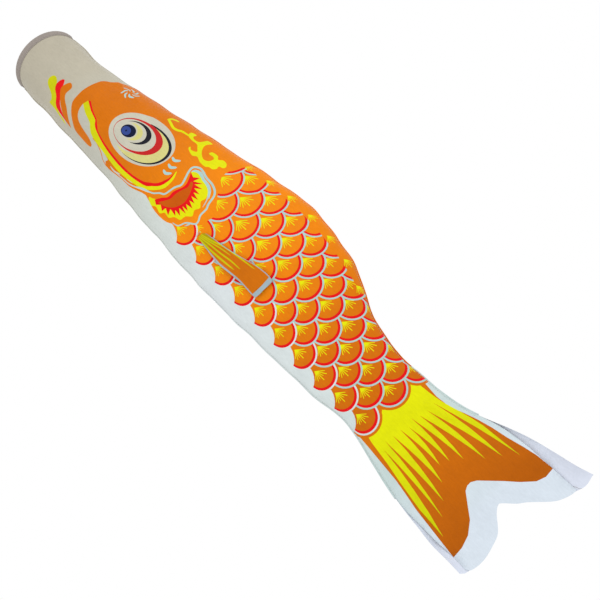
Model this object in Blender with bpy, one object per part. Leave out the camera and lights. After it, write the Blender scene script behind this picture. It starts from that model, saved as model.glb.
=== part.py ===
"""Carp streamer that hangs from its mouth hoop.

Metres, +Z up. The origin is the hoop's centre. The body hangs down -Z, its back is +X, its belly -X,
and its left flank faces -Y.
"""

import math

import bmesh
import bpy

# Overall sizes
LENGTH = 1.0  # from the hoop's plane to the tail's lobes, nominal
HOOP_RADIUS = 0.0545  # to the middle of the wire
BACK_HEIGHT = 0.118  # from the hoop's axis to the top of the back
BELLY_DEPTH = 0.070  # from the hoop's axis to the lowest part of the belly
MOUTH_STEP = 0.0005  # how far the cloth stands outside the wire's middle

# Cloth and clearances
CLOTH = 0.0006
GAP = 0.0003  # between pieces that touch in the real object

# Hoop, ferrule and hem
WIRE_RADIUS = 0.0010
WIRE_END_GAP = 0.0008
FERRULE_WALL = 0.0004
FERRULE_LENGTH = 0.018
HEM_OPENING = 0.010  # bare stretch of hoop at the back and at the belly, where a bridle is tied

# Seams
SEAM_WIDTH = 0.005
SEAM_END = 0.865  # share of LENGTH; the two tail layers are free below it

# Bends: share of LENGTH, and how far the cloth folds each way, in degrees
NECK, NECK_BEND = 0.285, 15
WAIST, WAIST_BEND = 0.582, 20
WRIST, WRIST_BEND = 0.775, 30
FOLD_SPARE = 0.002

# Tail
FORK_RISE = 0.040  # how far above LENGTH the fork is
FORK_X = 0.007
BELLY_LOBE = -0.008  # how far past LENGTH each lobe reaches
BACK_LOBE = 0.012
LAYER_STEP = 0.008  # how much narrower the left layer is at each edge
CORNER_SLIP = 0.016  # how much further the right layer's back corner reaches

# Pectoral fins
FIN_ROOT = 0.430  # share of LENGTH
FIN_ROOT_X = -0.019
FIN_LENGTH = 0.124
FIN_LEAN = 0.008  # how far the fin's end leans towards the back
FIN_ROOT_WIDTH = 0.013
FIN_END_WIDTH = 0.034
FIN_GAP = 0.0016  # between the flank and the fin
TACK = 0.0008

# Outline: share of LENGTH below the hoop, back edge over BACK_HEIGHT, belly edge over BELLY_DEPTH,
# half thickness over HOOP_RADIUS. The mouth itself is round, with the hoop's radius.
OUTLINE = (
    (0.10, 0.50, 0.79, 0.91),
    (0.20, 0.62, 0.84, 0.82),
    (0.30, 0.77, 0.90, 0.74),
    (0.42, 0.92, 0.97, 0.67),
    (0.51, 1.00, 1.00, 0.62),
    (0.60, 0.87, 0.98, 0.52),
    (0.69, 0.53, 0.89, 0.40),
    (0.76, 0.45, 0.82, 0.32),
    (0.85, 0.55, 1.09, 0.21),
    (0.92, 0.74, 1.20, 0.14),
    (1.01, 0.81, 1.22, 0.09),
)

COLUMNS = 14  # facets across a panel
ROW = 0.030  # height of a row of facets
HOOP_FACETS = 72


def smooth(table, at):
    """The table's values at a position, by a cubic that passes through every row."""
    last = len(table) - 2
    i = min(max(sum(row[0] <= at for row in table) - 1, 0), last)
    p, q = table[i], table[i + 1]
    before = table[max(i - 1, 0)]
    after = table[min(i + 2, len(table) - 1)]
    h = q[0] - p[0]
    t = (at - p[0]) / h
    out = []
    for k in range(1, len(p)):
        m0 = (q[k] - before[k]) / (q[0] - before[0])
        m1 = (after[k] - p[k]) / (after[0] - p[0])
        out.append(
            (2 * t**3 - 3 * t**2 + 1) * p[k]
            + (t**3 - 2 * t**2 + t) * h * m0
            + (3 * t**2 - 2 * t**3) * q[k]
            + (t**3 - t**2) * h * m1
        )
    return out


def section(down):
    """Back edge, belly edge and half thickness at a distance below the hoop."""
    mouth = HOOP_RADIUS + MOUTH_STEP
    table = [(0.0, mouth, -mouth, mouth)]
    for share, back, belly, half in OUTLINE:
        table.append(
            (share * LENGTH, back * BACK_HEIGHT, -belly * BELLY_DEPTH, half * HOOP_RADIUS)
        )
    return smooth(table, down)


def fold_height(at, bend):
    """Height of the cloth that folds at a bend, so that the panels beside it stay apart."""
    return 2 * section(at)[2] * math.tan(math.radians(bend) / 2) + FOLD_SPARE


def rows_between(top, bottom):
    """Evenly spaced distances below the hoop."""
    count = max(1, math.ceil((bottom - top) / ROW))
    return [top + (bottom - top) * i / count for i in range(count + 1)]


def material(name, colour, roughness, metallic=0.0):
    m = bpy.data.materials.new(name)
    m.use_nodes = True
    shader = m.node_tree.nodes["Principled BSDF"]
    shader.inputs["Base Color"].default_value = (*colour, 1.0)
    shader.inputs["Roughness"].default_value = roughness
    shader.inputs["Metallic"].default_value = metallic
    return m


def add(name, verts, faces, origin, look):
    """A closed body with its own material and its origin at a point."""
    mesh = bpy.data.meshes.new(name)
    mesh.from_pydata([[c - o for c, o in zip(v, origin)] for v in verts], [], faces)
    bm = bmesh.new()
    bm.from_mesh(mesh)
    bmesh.ops.triangulate(bm, faces=bm.faces[:])
    bmesh.ops.recalc_face_normals(bm, faces=bm.faces[:])
    bm.to_mesh(mesh)
    bm.free()
    mesh.materials.append(material(name, *look))
    o = bpy.data.objects.new(name, mesh)
    o.location = origin
    bpy.context.collection.objects.link(o)
    return o


def shell(name, outer, inner, closed, origin, look):
    """A wall between two grids of points; closed joins the last column to the first."""
    rows, columns = len(outer), len(outer[0])
    verts = [p for row in outer for p in row] + [p for row in inner for p in row]
    deep = rows * columns
    spans = columns if closed else columns - 1
    faces = []

    def at(i, j):
        return i * columns + j % columns

    for i in range(rows - 1):
        for j in range(spans):
            quad = (at(i, j), at(i, j + 1), at(i + 1, j + 1), at(i + 1, j))
            faces.append(quad)
            faces.append(tuple(deep + k for k in reversed(quad)))
    for j in range(spans):
        for i in (0, rows - 1):
            faces.append((at(i, j), at(i, j + 1), deep + at(i, j + 1), deep + at(i, j)))
    if not closed:
        for i in range(rows - 1):
            for j in (0, columns - 1):
                faces.append((at(i, j), at(i + 1, j), deep + at(i + 1, j), deep + at(i, j)))
    return add(name, verts, faces, origin, look)


def bar(name, rings, origin, look):
    """A solid run through rings of points, with a face at each end."""
    n = len(rings[0])
    verts = [p for ring in rings for p in ring]
    faces = [tuple(range(n)), tuple(range(len(verts) - n, len(verts)))]
    for i in range(len(rings) - 1):
        for j in range(n):
            k = (j + 1) % n
            faces.append((i * n + j, i * n + k, (i + 1) * n + k, (i + 1) * n + j))
    return add(name, verts, faces, origin, look)


def wall_point(down, angle, inset, side, narrow=0.0, slip=0.0):
    """A point of the cloth: angle 0 is the back edge and pi the belly edge."""
    back, belly, half = section(down)
    back += slip - narrow
    belly += narrow
    middle, reach = (back + belly) / 2, (back - belly) / 2
    x = middle + (reach - inset) * math.cos(angle)
    return (x, side * (half - inset) * math.sin(angle), -down)


def edge_angle(down):
    """The angle at which a panel stops beside the seam."""
    half = section(down)[2]
    return math.asin((CLOTH + GAP) / (half - CLOTH))


def tail_cut(x):
    """How far below the hoop the tail's forked edge is."""
    back, belly, _ = section(LENGTH)
    lobe = back - FORK_X if x > FORK_X else FORK_X - belly
    reach = FORK_RISE + (BACK_LOBE if x > FORK_X else BELLY_LOBE)
    share = min(1.2 * abs(x - FORK_X) / lobe, 1.0)
    return LENGTH - FORK_RISE + reach * math.sin(share * math.pi / 2)


def panel(name, side, top, bottom, origin, look):
    """One area of a cloth panel between two heights."""
    outer, inner = [], []
    for down in rows_between(top, bottom):
        first = edge_angle(down)
        angles = [first + (math.pi - 2 * first) * j / COLUMNS for j in range(COLUMNS + 1)]
        outer.append([wall_point(down, a, 0, side) for a in angles])
        inner.append([wall_point(down, a, CLOTH, side) for a in angles])
    return shell(name, outer, inner, False, origin, look)


def tail_panel(name, side, top, origin, look):
    """A tail layer, from its fold down to the forked edge."""
    rows = rows_between(top, LENGTH)
    free = SEAM_END * LENGTH
    outer, inner = [], []
    for i in range(len(rows)):
        share = i / (len(rows) - 1)
        first = edge_angle(rows[i])
        line_out, line_in = [], []
        for j in range(COLUMNS + 1):
            a = first + (math.pi - 2 * first) * j / COLUMNS
            end = tail_cut(wall_point(LENGTH, a, 0, side)[0])
            down = top + (end - top) * share
            loose = min(max((down - free) / (LENGTH - free), 0), 1)
            narrow = LAYER_STEP * min(3 * loose, 1) if side < 0 else 0
            slip = CORNER_SLIP * loose**2 * (0.5 + 0.5 * math.cos(a)) if side > 0 else 0
            line_out.append(wall_point(down, a, 0, side, narrow, slip))
            line_in.append(wall_point(down, a, CLOTH, side, narrow, slip))
        outer.append(line_out)
        inner.append(line_in)
    return shell(name, outer, inner, False, origin, look)


def seam(name, edge, top, bottom, origin, look):
    """The sewn edge between the panels: edge 0 is the back and 1 the belly."""
    inward = -1 if edge == 0 else 1
    rings = []
    for down in rows_between(top, bottom):
        x = section(down)[edge]
        deep = x + inward * SEAM_WIDTH
        rings.append(
            [(x, -CLOTH, -down), (x, CLOTH, -down), (deep, CLOTH, -down), (deep, -CLOTH, -down)]
        )
    return bar(name, rings, origin, look)


def fold(name, top, bottom, origin, look):
    """The ring of cloth that folds at a bend."""
    outer, inner = [], []
    for down in (top, (top + bottom) / 2, bottom):
        angles = [math.pi * j / COLUMNS for j in range(2 * COLUMNS)]
        outer.append([wall_point(down, a, 0, -1) for a in angles])
        inner.append([wall_point(down, a, CLOTH, -1) for a in angles])
    return shell(name, outer, inner, True, origin, look)


def hoop_ring(radius, angle, facets):
    """A circle of points around the hoop's wire at an angle about Z."""
    ring = []
    for k in range(facets):
        b = 2 * math.pi * k / facets
        r = HOOP_RADIUS + radius * math.cos(b)
        ring.append((r * math.cos(angle), r * math.sin(angle), radius * math.sin(b)))
    return ring


def turns(first, last, facets):
    count = max(2, round(facets * abs(last - first) / (2 * math.pi)))
    return [first + (last - first) * i / count for i in range(count + 1)]


def fin_frame(share):
    """Centre of the fin's left copy and its half width, at a share of its length."""
    down = FIN_ROOT * LENGTH + FIN_LENGTH * share
    x = FIN_ROOT_X + FIN_LEAN * share
    width = FIN_ROOT_WIDTH + (FIN_END_WIDTH - FIN_ROOT_WIDTH) * math.sin(share * math.pi / 2)
    return x, down, width / 2


def flank(x, down, away):
    """A point at a distance outside the left flank."""
    back, belly, half = section(down)
    middle, reach = (back + belly) / 2, (back - belly) / 2
    u = (x - middle) / reach
    return (x, -half * math.sqrt(max(1 - u * u, 0)) - away, -down)


def fin(name, side, origin, look):
    """A flap that lies along the flank, from its root line to its rounded end."""
    rows, columns = 9, 6
    outer, inner = [], []
    for i in range(rows + 1):
        share = i / rows
        line_out, line_in = [], []
        for j in range(columns + 1):
            v = 2 * j / columns - 1
            s = share * (1 - 0.10 * v * v)
            x, down, half = fin_frame(s)
            x += half * v
            p, q = flank(x, down, FIN_GAP + CLOTH), flank(x, down, FIN_GAP)
            line_out.append((p[0], -side * p[1], p[2]))
            line_in.append((q[0], -side * q[1], q[2]))
        outer.append(line_out)
        inner.append(line_in)
    return shell(name, outer, inner, False, origin, look)


def tack(name, side, origin, look):
    """The thread bar just above a fin's root."""
    x0, down, half = fin_frame(0)
    top = down - GAP - 2.5 * TACK
    rings = []
    for x in (x0 - half, x0, x0 + half):
        near, far = flank(x, top, GAP)[1], flank(x, top, FIN_GAP + CLOTH)[1]
        rings.append(
            [
                (x, -side * near, -top),
                (x, -side * far, -top),
                (x, -side * far, -top - TACK),
                (x, -side * near, -top - TACK),
            ]
        )
    return bar(name, rings, origin, look)


for old in list(bpy.data.objects):
    bpy.data.objects.remove(old)

# Colours (linear) and roughness
PALE = ((0.52, 0.50, 0.42), 0.55)
ORANGE = ((0.80, 0.22, 0.01), 0.5)
TAIL = ((0.62, 0.15, 0.01), 0.5)
EDGE = ((0.70, 0.72, 0.70), 0.6)
HEM = ((0.34, 0.30, 0.27), 0.65)
FIN = ((0.45, 0.55, 0.50), 0.5)
THREAD = ((0.80, 0.80, 0.76), 0.6)
WIRE = ((0.55, 0.56, 0.58), 0.3, 1.0)
SLEEVE = ((0.75, 0.75, 0.77), 0.35, 1.0)

HUB = (0.0, 0.0, 0.0)

# Hoop, its ferrule and the hem around them. The ferrule is on the right side, away from the bridle.
FERRULE_AT = math.pi / 2
FERRULE_OUTER = WIRE_RADIUS + GAP + FERRULE_WALL
HEM_INNER = FERRULE_OUTER + GAP
HEM_OUTER = HEM_INNER + CLOTH

break_angle = WIRE_END_GAP / HOOP_RADIUS / 2
wire = turns(FERRULE_AT + break_angle, FERRULE_AT + 2 * math.pi - break_angle, HOOP_FACETS)
bar("mouth_ring", [hoop_ring(WIRE_RADIUS, a, 8) for a in wire], HUB, WIRE)

reach = FERRULE_LENGTH / HOOP_RADIUS / 2
ferrule = turns(FERRULE_AT - reach, FERRULE_AT + reach, HOOP_FACETS)
shell(
    "ring_ferrule",
    [hoop_ring(FERRULE_OUTER, a, 10) for a in ferrule],
    [hoop_ring(WIRE_RADIUS + GAP, a, 10) for a in ferrule],
    True,
    HUB,
    SLEEVE,
)

open_angle = HEM_OPENING / HOOP_RADIUS / 2
for label, start in (("right", 0.0), ("left", math.pi)):
    hem = turns(start + open_angle, start + math.pi - open_angle, HOOP_FACETS)
    shell(
        "mouth_hem_" + label,
        [hoop_ring(HEM_OUTER, a, 10) for a in hem],
        [hoop_ring(HEM_INNER, a, 10) for a in hem],
        True,
        HUB,
        HEM,
    )

# Body areas, from the mouth to the tail. Each hangs from the middle of the fold above it.
levels = []
for share, bend in ((NECK, NECK_BEND), (WAIST, WAIST_BEND), (WRIST, WRIST_BEND)):
    at = share * LENGTH
    levels.append((at, fold_height(at, bend) / 2))

mouth_top = HEM_OUTER + GAP
areas = (
    ("head", mouth_top, levels[0][0] - levels[0][1], HUB, PALE),
    ("trunk", levels[0][0] + levels[0][1], levels[1][0] - levels[1][1], (0, 0, -levels[0][0]), ORANGE),
    ("stock", levels[1][0] + levels[1][1], levels[2][0] - levels[2][1], (0, 0, -levels[1][0]), ORANGE),
)
for area, top, bottom, pivot, look in areas:
    panel(area + "_left", -1, top, bottom, pivot, look)
    panel(area + "_right", 1, top, bottom, pivot, look)
    seam("back_seam_" + area, 0, top, bottom, pivot, EDGE)
    seam("belly_seam_" + area, 1, top, bottom, pivot, EDGE)

tail_top = levels[2][0] + levels[2][1]
tail_pivot = (0, 0, -levels[2][0])
tail_panel("tail_left", -1, tail_top, tail_pivot, TAIL)
tail_panel("tail_right", 1, tail_top, tail_pivot, TAIL)
seam("back_seam_tail", 0, tail_top, SEAM_END * LENGTH, tail_pivot, EDGE)
seam("belly_seam_tail", 1, tail_top, SEAM_END * LENGTH, tail_pivot, EDGE)

for name, (at, reach) in zip(("fold_neck", "fold_waist", "fold_tail"), levels):
    fold(name, at - reach + GAP, at + reach - GAP, (0, 0, -at), ORANGE)

# Pectoral fins, each hinged on its root line
for label, side in (("left", -1), ("right", 1)):
    root = flank(FIN_ROOT_X, FIN_ROOT * LENGTH, FIN_GAP + CLOTH / 2)
    fin("fin_" + label, side, (root[0], -side * root[1], root[2]), FIN)
    tack("fin_tack_" + label, side, (0, 0, -levels[0][0]), THREAD)
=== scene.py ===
"""Looks of the carp streamer: printed nylon panels, hem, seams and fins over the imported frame.

Metres, +Z up, the hoop's centre at the origin. The body hangs down -Z, its back is +X, its belly -X
and its left flank faces -Y. The print is drawn in flat cloth coordinates: across is the distance
over the cloth from the flank's middle line, positive towards the back, and down is the distance
below the hoop.
"""

import math

import bpy
import numpy as np
from mathutils import Matrix, Vector, noise
from mathutils.geometry import delaunay_2d_cdt


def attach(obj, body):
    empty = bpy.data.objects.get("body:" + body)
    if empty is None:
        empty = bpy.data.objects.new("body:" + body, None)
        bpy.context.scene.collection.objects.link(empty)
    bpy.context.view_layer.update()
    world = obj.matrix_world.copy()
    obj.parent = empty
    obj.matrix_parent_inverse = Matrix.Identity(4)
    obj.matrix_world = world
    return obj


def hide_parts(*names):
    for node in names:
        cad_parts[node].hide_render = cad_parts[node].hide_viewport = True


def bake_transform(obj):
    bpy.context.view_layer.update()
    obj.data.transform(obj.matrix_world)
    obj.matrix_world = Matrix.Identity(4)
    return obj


MM = 0.001

# Body, as packed
LENGTH = 1.0
HOOP_RADIUS = 0.0545
BACK_HEIGHT = 0.118
BELLY_DEPTH = 0.070
MOUTH_STEP = 0.0005
SEAM_END = 0.865
LAYER_STEP = 0.008
CORNER_SLIP = 0.016
OUTLINE = (
    (0.10, 0.50, 0.79, 0.91),
    (0.20, 0.62, 0.84, 0.82),
    (0.30, 0.77, 0.90, 0.74),
    (0.42, 0.92, 0.97, 0.67),
    (0.51, 1.00, 1.00, 0.62),
    (0.60, 0.87, 0.98, 0.52),
    (0.69, 0.53, 0.89, 0.40),
    (0.76, 0.45, 0.82, 0.32),
    (0.85, 0.55, 1.09, 0.21),
    (0.92, 0.74, 1.20, 0.14),
    (1.01, 0.81, 1.22, 0.09),
)

# Each panel is cut in three pieces, so that each crosses one joint: distances below the hoop
PANEL_TOP = 0.0045
CUTS = (0.425, 0.675)
BENDS = ((0.285, 0.030), (0.582, 0.028), (0.775, 0.022))

MESH_STEP = 0.0065
PRINT_RISE = 4  # mm: the drawing's own zero is this far below the hoop's middle plane

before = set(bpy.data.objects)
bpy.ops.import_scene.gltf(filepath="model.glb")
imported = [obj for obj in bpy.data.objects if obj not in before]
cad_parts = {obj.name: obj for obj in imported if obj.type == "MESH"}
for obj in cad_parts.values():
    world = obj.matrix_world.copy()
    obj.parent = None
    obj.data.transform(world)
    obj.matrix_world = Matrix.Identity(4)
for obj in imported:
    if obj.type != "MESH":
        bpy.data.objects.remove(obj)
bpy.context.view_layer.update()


# ---------------------------------------------------------------- body surface


def smooth(table, at):
    """The table's values at a position, by a cubic that passes through every row."""
    last = len(table) - 2
    i = min(max(sum(row[0] <= at for row in table) - 1, 0), last)
    p, q = table[i], table[i + 1]
    before, after = table[max(i - 1, 0)], table[min(i + 2, len(table) - 1)]
    h = q[0] - p[0]
    t = (at - p[0]) / h
    out = []
    for k in range(1, len(p)):
        m0 = (q[k] - before[k]) / (q[0] - before[0])
        m1 = (after[k] - p[k]) / (after[0] - p[0])
        out.append(
            (2 * t**3 - 3 * t**2 + 1) * p[k]
            + (t**3 - 2 * t**2 + t) * h * m0
            + (3 * t**2 - 2 * t**3) * q[k]
            + (t**3 - t**2) * h * m1
        )
    return out


def section(down):
    """Back edge, belly edge and half thickness at a distance below the hoop."""
    mouth = HOOP_RADIUS + MOUTH_STEP
    table = [(0.0, mouth, -mouth, mouth)]
    for share, back, belly, half in OUTLINE:
        table.append((share * LENGTH, back * BACK_HEIGHT, -belly * BELLY_DEPTH, half * HOOP_RADIUS))
    return smooth(table, down)


def ease(x):
    """Rises smoothly from 0 to 1 as x does."""
    x = min(max(x, 0.0), 1.0)
    return x * x * (3 - 2 * x)


# Sharp little folds: two ends as (x, distance below the hoop), height and width in mm
FOLDS = (
    ((0.046, 0.030), (0.055, 0.155), 1.6, 3.2),
    ((0.036, 0.018), (0.026, 0.085), -1.5, 5.0),
    ((0.026, 0.020), (0.046, 0.105), 1.5, 4.5),
    ((0.004, 0.014), (0.022, 0.070), -1.2, 6.0),
    ((-0.030, 0.014), (-0.020, 0.080), 0.9, 6.0),
    ((0.054, 0.150), (0.052, 0.270), 1.5, 2.6),
    ((0.048, 0.175), (0.056, 0.240), -1.2, 2.4),
    ((0.090, 0.400), (0.076, 0.470), -1.1, 5.0),
    ((0.098, 0.500), (0.070, 0.560), 1.2, 6.0),
    ((-0.060, 0.360), (-0.040, 0.440), 1.0, 5.0),
    ((-0.058, 0.470), (-0.052, 0.580), -1.3, 6.0),
    ((-0.056, 0.600), (-0.030, 0.690), 1.1, 6.0),
    ((0.030, 0.800), (0.044, 0.850), 1.6, 3.4),
    ((0.034, 0.830), (0.008, 0.845), 1.6, 3.4),
    ((-0.040, 0.815), (-0.020, 0.900), 1.6, 4.4),
    ((-0.010, 0.905), (-0.024, 0.935), 1.2, 3.6),
)


def fold_height(x, down):
    """Height of the little folds at a place, in mm."""
    height = 0.0
    for (x0, d0), (x1, d1), high, wide in FOLDS:
        dx, dd = x1 - x0, d1 - d0
        t = ((x - x0) * dx + (down - d0) * dd) / (dx * dx + dd * dd)
        if -0.2 < t < 1.2:
            off = math.hypot(x - x0 - t * dx, down - d0 - t * dd) / (wide * MM)
            if off < 3:
                height += high * math.exp(-off * off) * ease((t + 0.2) / 0.4) * ease((1.2 - t) / 0.4)
    return height


def wrinkle(x, y, down):
    """How far the cloth stands in or out at a place, from soft folds and dents."""
    place = Vector((x, y, down))
    away = ease(down / 0.035)
    broad = noise.noise(place * 9 + Vector((3, 1, 7)))
    fine = noise.noise(Vector((x * 34, y * 34, down * 12)) + Vector((1, 5, 2)))
    ripple = noise.noise(Vector((x * 26, y * 26, down * 34)) + Vector((8, 2, 4)))
    pleat = noise.noise(Vector((x * 60, y * 60, down * 6)))
    head = 1 - ease((down - 0.05) / 0.25)
    # Slack cloth sinks in on the back, just below the mouth
    dent = math.exp(-(((down - 0.115) / 0.05) ** 2)) * ease((x - 0.004) / 0.05)
    # The seams pucker
    pucker = math.exp(-((y / 0.013) ** 2)) * noise.noise(Vector((x * 3, 0.7, down * 26)))
    return MM * away * (
        1.8 * broad + 0.9 * fine + 0.8 * ripple + 1.1 * head * pleat - 2.6 * dent * (0.6 + pleat)
        + 2.6 * pucker + fold_height(x, down)
    )


def wave(x, down):
    """How far both tail layers stand off the middle plane together."""
    loose = ease((down - 0.80) / 0.16)
    swell = noise.noise(Vector((x * 11, 0.4, down * 10)))
    return MM * 3.2 * loose * swell


class Panel:
    """One side of the body: turns flat cloth coordinates into places and normals."""

    ROWS = 416
    COLUMNS = 121

    def __init__(self, side):
        self.side = side
        self.down = np.linspace(0, 1.0375, self.ROWS)
        self.back = np.zeros(self.ROWS)
        self.belly = np.zeros(self.ROWS)
        place = np.zeros((self.ROWS, self.COLUMNS, 3))
        angle = np.linspace(0, math.pi, 721)
        for i, down in enumerate(self.down):
            back, belly, half = section(down)
            loose = (down - SEAM_END) / (LENGTH - SEAM_END)
            if side < 0:
                narrow = LAYER_STEP * ease(loose * 1.5)
                back, belly = back - narrow, belly + narrow
            elif loose > 0:
                back += CORNER_SLIP * loose**2
            middle, reach = (back + belly) / 2, (back - belly) / 2
            x = middle + reach * np.cos(angle)
            y = half * np.sin(angle)
            arc = np.concatenate(([0], np.cumsum(np.hypot(np.diff(x), np.diff(y)))))
            self.back[i] = np.interp(0, -x, arc)
            self.belly[i] = self.back[i] - arc[-1]
            at = np.linspace(0, arc[-1], self.COLUMNS)
            x, y = np.interp(at, arc, x), np.interp(at, arc, y)
            place[i, :, 0] = x
            place[i, :, 1] = side * y
            place[i, :, 2] = -down
        normal = self.normals(place)
        for i, down in enumerate(self.down):
            for j in range(self.COLUMNS):
                x, y, _ = place[i, j]
                place[i, j] += normal[i, j] * wrinkle(x, y, down)
                place[i, j, 1] += wave(x, down)
        self.place = place
        self.normal = self.normals(place)

    def normals(self, place):
        along = np.gradient(place, axis=0)
        across = np.gradient(place, axis=1)
        normal = np.cross(along, across) * self.side
        return normal / np.maximum(np.linalg.norm(normal, axis=2, keepdims=True), 1e-12)

    def edges(self, down):
        """Flat positions of the back edge and the belly edge."""
        return np.interp(down, self.down, self.back), np.interp(down, self.down, self.belly)

    def read(self, grid, flat):
        """The grid's values at flat points, by straight interpolation."""
        flat = np.asarray(flat, float)
        back, belly = self.edges(flat[:, 1])
        u = np.clip((back - flat[:, 0]) / (back - belly), 0, 1) * (self.COLUMNS - 1)
        v = np.clip(flat[:, 1] / self.down[-1], 0, 1) * (self.ROWS - 1)
        i, j = np.minimum(v.astype(int), self.ROWS - 2), np.minimum(u.astype(int), self.COLUMNS - 2)
        v, u = (v - i)[:, None], (u - j)[:, None]
        upper = grid[i, j] * (1 - u) + grid[i, j + 1] * u
        lower = grid[i + 1, j] * (1 - u) + grid[i + 1, j + 1] * u
        return upper * (1 - v) + lower * v

    def lay(self, flat, lift=0.0):
        """Places and normals of flat points, lifted off the cloth."""
        place, normal = self.read(self.place, flat), self.read(self.normal, flat)
        normal /= np.linalg.norm(normal, axis=1, keepdims=True)
        return place + normal * np.reshape(lift, (-1, 1)), normal


# ---------------------------------------------------------------- drawing on flat cloth


def curve(points, closed=False, steps=4):
    """A smooth line through the points."""
    p = np.asarray(points, float)
    n = len(p)
    out = []
    for i in range(n if closed else n - 1):
        if closed:
            a, b, c, d = p[i - 1], p[i], p[(i + 1) % n], p[(i + 2) % n]
        else:
            a, b, c, d = p[max(i - 1, 0)], p[i], p[i + 1], p[min(i + 2, n - 1)]
        for k in range(steps):
            t = k / steps
            square, cube = 2 * a - 5 * b + 4 * c - d, 3 * b - a - 3 * c + d
            out.append(0.5 * (2 * b + (c - a) * t + square * t * t + cube * t**3))
    if not closed:
        out.append(p[-1])
    return np.array(out)


def blob(points, steps=3):
    """A closed shape with a smooth outline."""
    return curve(points, True, steps)


def stroke(points, width, ends=(0.2, 0.2), steps=4):
    """A brush stroke, at full width in the middle and tapered towards its ends."""
    line = curve(points, False, steps)
    along = np.gradient(line, axis=0)
    along /= np.maximum(np.linalg.norm(along, axis=1, keepdims=True), 1e-9)
    across = np.stack((-along[:, 1], along[:, 0]), 1)
    share = np.linspace(0, 1, len(line))
    full = np.sin(np.pi * share) ** 0.5
    taper = ends[0] * (1 - share) + ends[1] * share
    half = (width / 2 * (taper + (1 - taper) * full))[:, None]
    return np.concatenate((line + across * half, (line - across * half)[::-1]))


def oval(centre, radii, lean, steps=40):
    """An ellipse whose long axis leans by an angle in degrees."""
    t = np.linspace(0, 2 * math.pi, steps, endpoint=False)
    c, s = math.cos(math.radians(lean)), math.sin(math.radians(lean))
    x, y = radii[0] * np.cos(t), radii[1] * np.sin(t)
    return np.stack((centre[0] + x * c - y * s, centre[1] + x * s + y * c), 1)


# Scale columns: across at 450 mm and at 700 mm below the hoop, and half width at those places
SCALE_COLUMNS = (
    (-60, -62, 22, 22),
    (-33, -36, 23, 23),
    (-14, -10, 20, 23),
    (5, 12, 23, 23.5),
    (32, 36, 27.5, 23.5),
    (60, 57, 27.5, 21),
    (87, 74, 27.5, 20),
    (109, 90, 24, 18),
)


def scale_row(row, column):
    """How far below the hoop a scale's centre is; the rows bow towards the head."""
    bow = 7 * (1 - ease((row + 1) / 6)) if column > 2 else 0
    return 405 + 21.4 * row - 0.062 * row * row - bow


def scales():
    """Overlapping scales with their fans, the lowest first."""
    shapes, borders = [], []
    for row in range(18, -3, -1):
        for c, (upper, lower, wide_upper, wide_lower) in enumerate(SCALE_COLUMNS):
            if (row + c) % 2 == 0 or (c == 1 and row < 0):
                continue
            down = scale_row(row, c)
            share = (down - 450) / 250
            across = upper + (lower - upper) * share
            wide = wide_upper + (wide_lower - wide_upper) * share
            deep = 27 - 3.5 * share
            if c == 0:
                shapes.append(("pale", oval((across, down), (wide, deep), 0, 28)))
                continue
            if row > 16:
                borders.append(("tail", oval((across, down), (wide + 3.5, deep + 3.5), 0, 28)))
            if across - wide > 104 - max(0, down - 520) * 0.17:
                continue
            rim = "pale" if c == 1 else "line"
            shapes.append((rim, oval((across, down), (wide, deep), 0, 30)))
            shapes.append(("red", oval((across, down), (wide - 2.3, deep - 2.3), 0, 30)))
            shapes.append(("orange", oval((across, down - 1.2), (wide - 4.8, deep - 5.0), 0, 30)))
            if c < 7:
                shapes.append(fan(across - 2, down - 7.5, min(wide, deep) / 24))
    return borders + shapes


def fan(across, down, size):
    """A hand of seven narrow rays that spread from a point."""
    line = [(across - 1.2 * size, down - 1.6 * size)]
    for k, far in enumerate((12.5, 14, 12, 16.5, 12.5, 16, 13)):
        for turn, reach in ((-7.2, 4.4), (-1.9, far), (1.9, far), (7.2, 4.4)):
            lean = math.radians(-47 + 16 * k + turn)
            line.append((across + size * reach * math.sin(lean), down + size * reach * math.cos(lean)))
    return ("yellow", np.array(line))


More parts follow.
